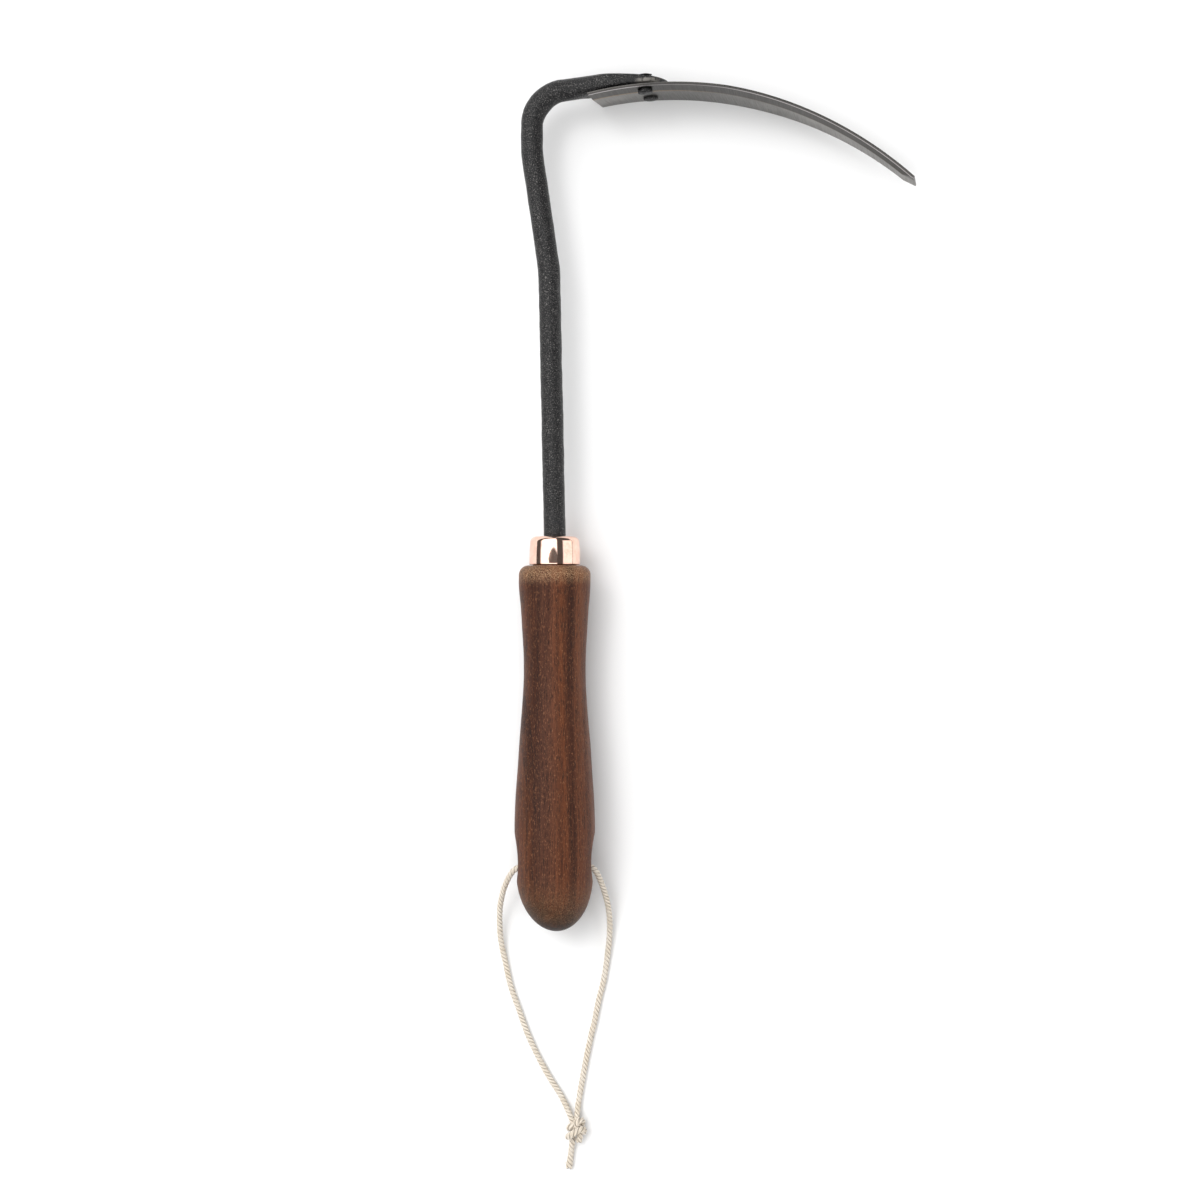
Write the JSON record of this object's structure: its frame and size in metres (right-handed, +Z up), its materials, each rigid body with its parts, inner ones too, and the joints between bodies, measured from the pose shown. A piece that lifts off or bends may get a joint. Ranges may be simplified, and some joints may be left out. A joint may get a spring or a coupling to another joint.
{
  "type": "hand sickle",
  "caption": "Hand sickle with a bowed steel blade riveted to a bent black steel shank, a turned walnut handle with a copper ferrule, and a knotted cotton hanging loop.",
  "frame": {"origin": "on the surface that the tool lies on, under the middle of the box round its rigid pieces (the lanyard left out)", "axes": "+Y along the handle from butt to head, +X from the shank towards the blade's tip, +Z up from the surface, along the blade's width from its spine to its cutting edge"},
  "size_m": [0.1778, 0.4627, 0.0337],
  "materials": {
    "ground_steel": "satin, ground across its width, brighter along the honed edge",
    "forged_steel": "black forge scale, waxed",
    "copper": "polished copper",
    "walnut": "oiled walnut with open grain",
    "cotton_cord": "natural three-strand cotton cord"
  },
  "bodies": {
    "root": {"blade": "ground_steel", "shank": "forged_steel", "rivet_upper": "forged_steel", "rivet_lower": "forged_steel", "ferrule": "copper", "handle": "walnut", "lanyard_cord": "cotton_cord", "lanyard_knot": "cotton_cord", "lanyard_tail": "cotton_cord"}
  },
  "joints": []
}
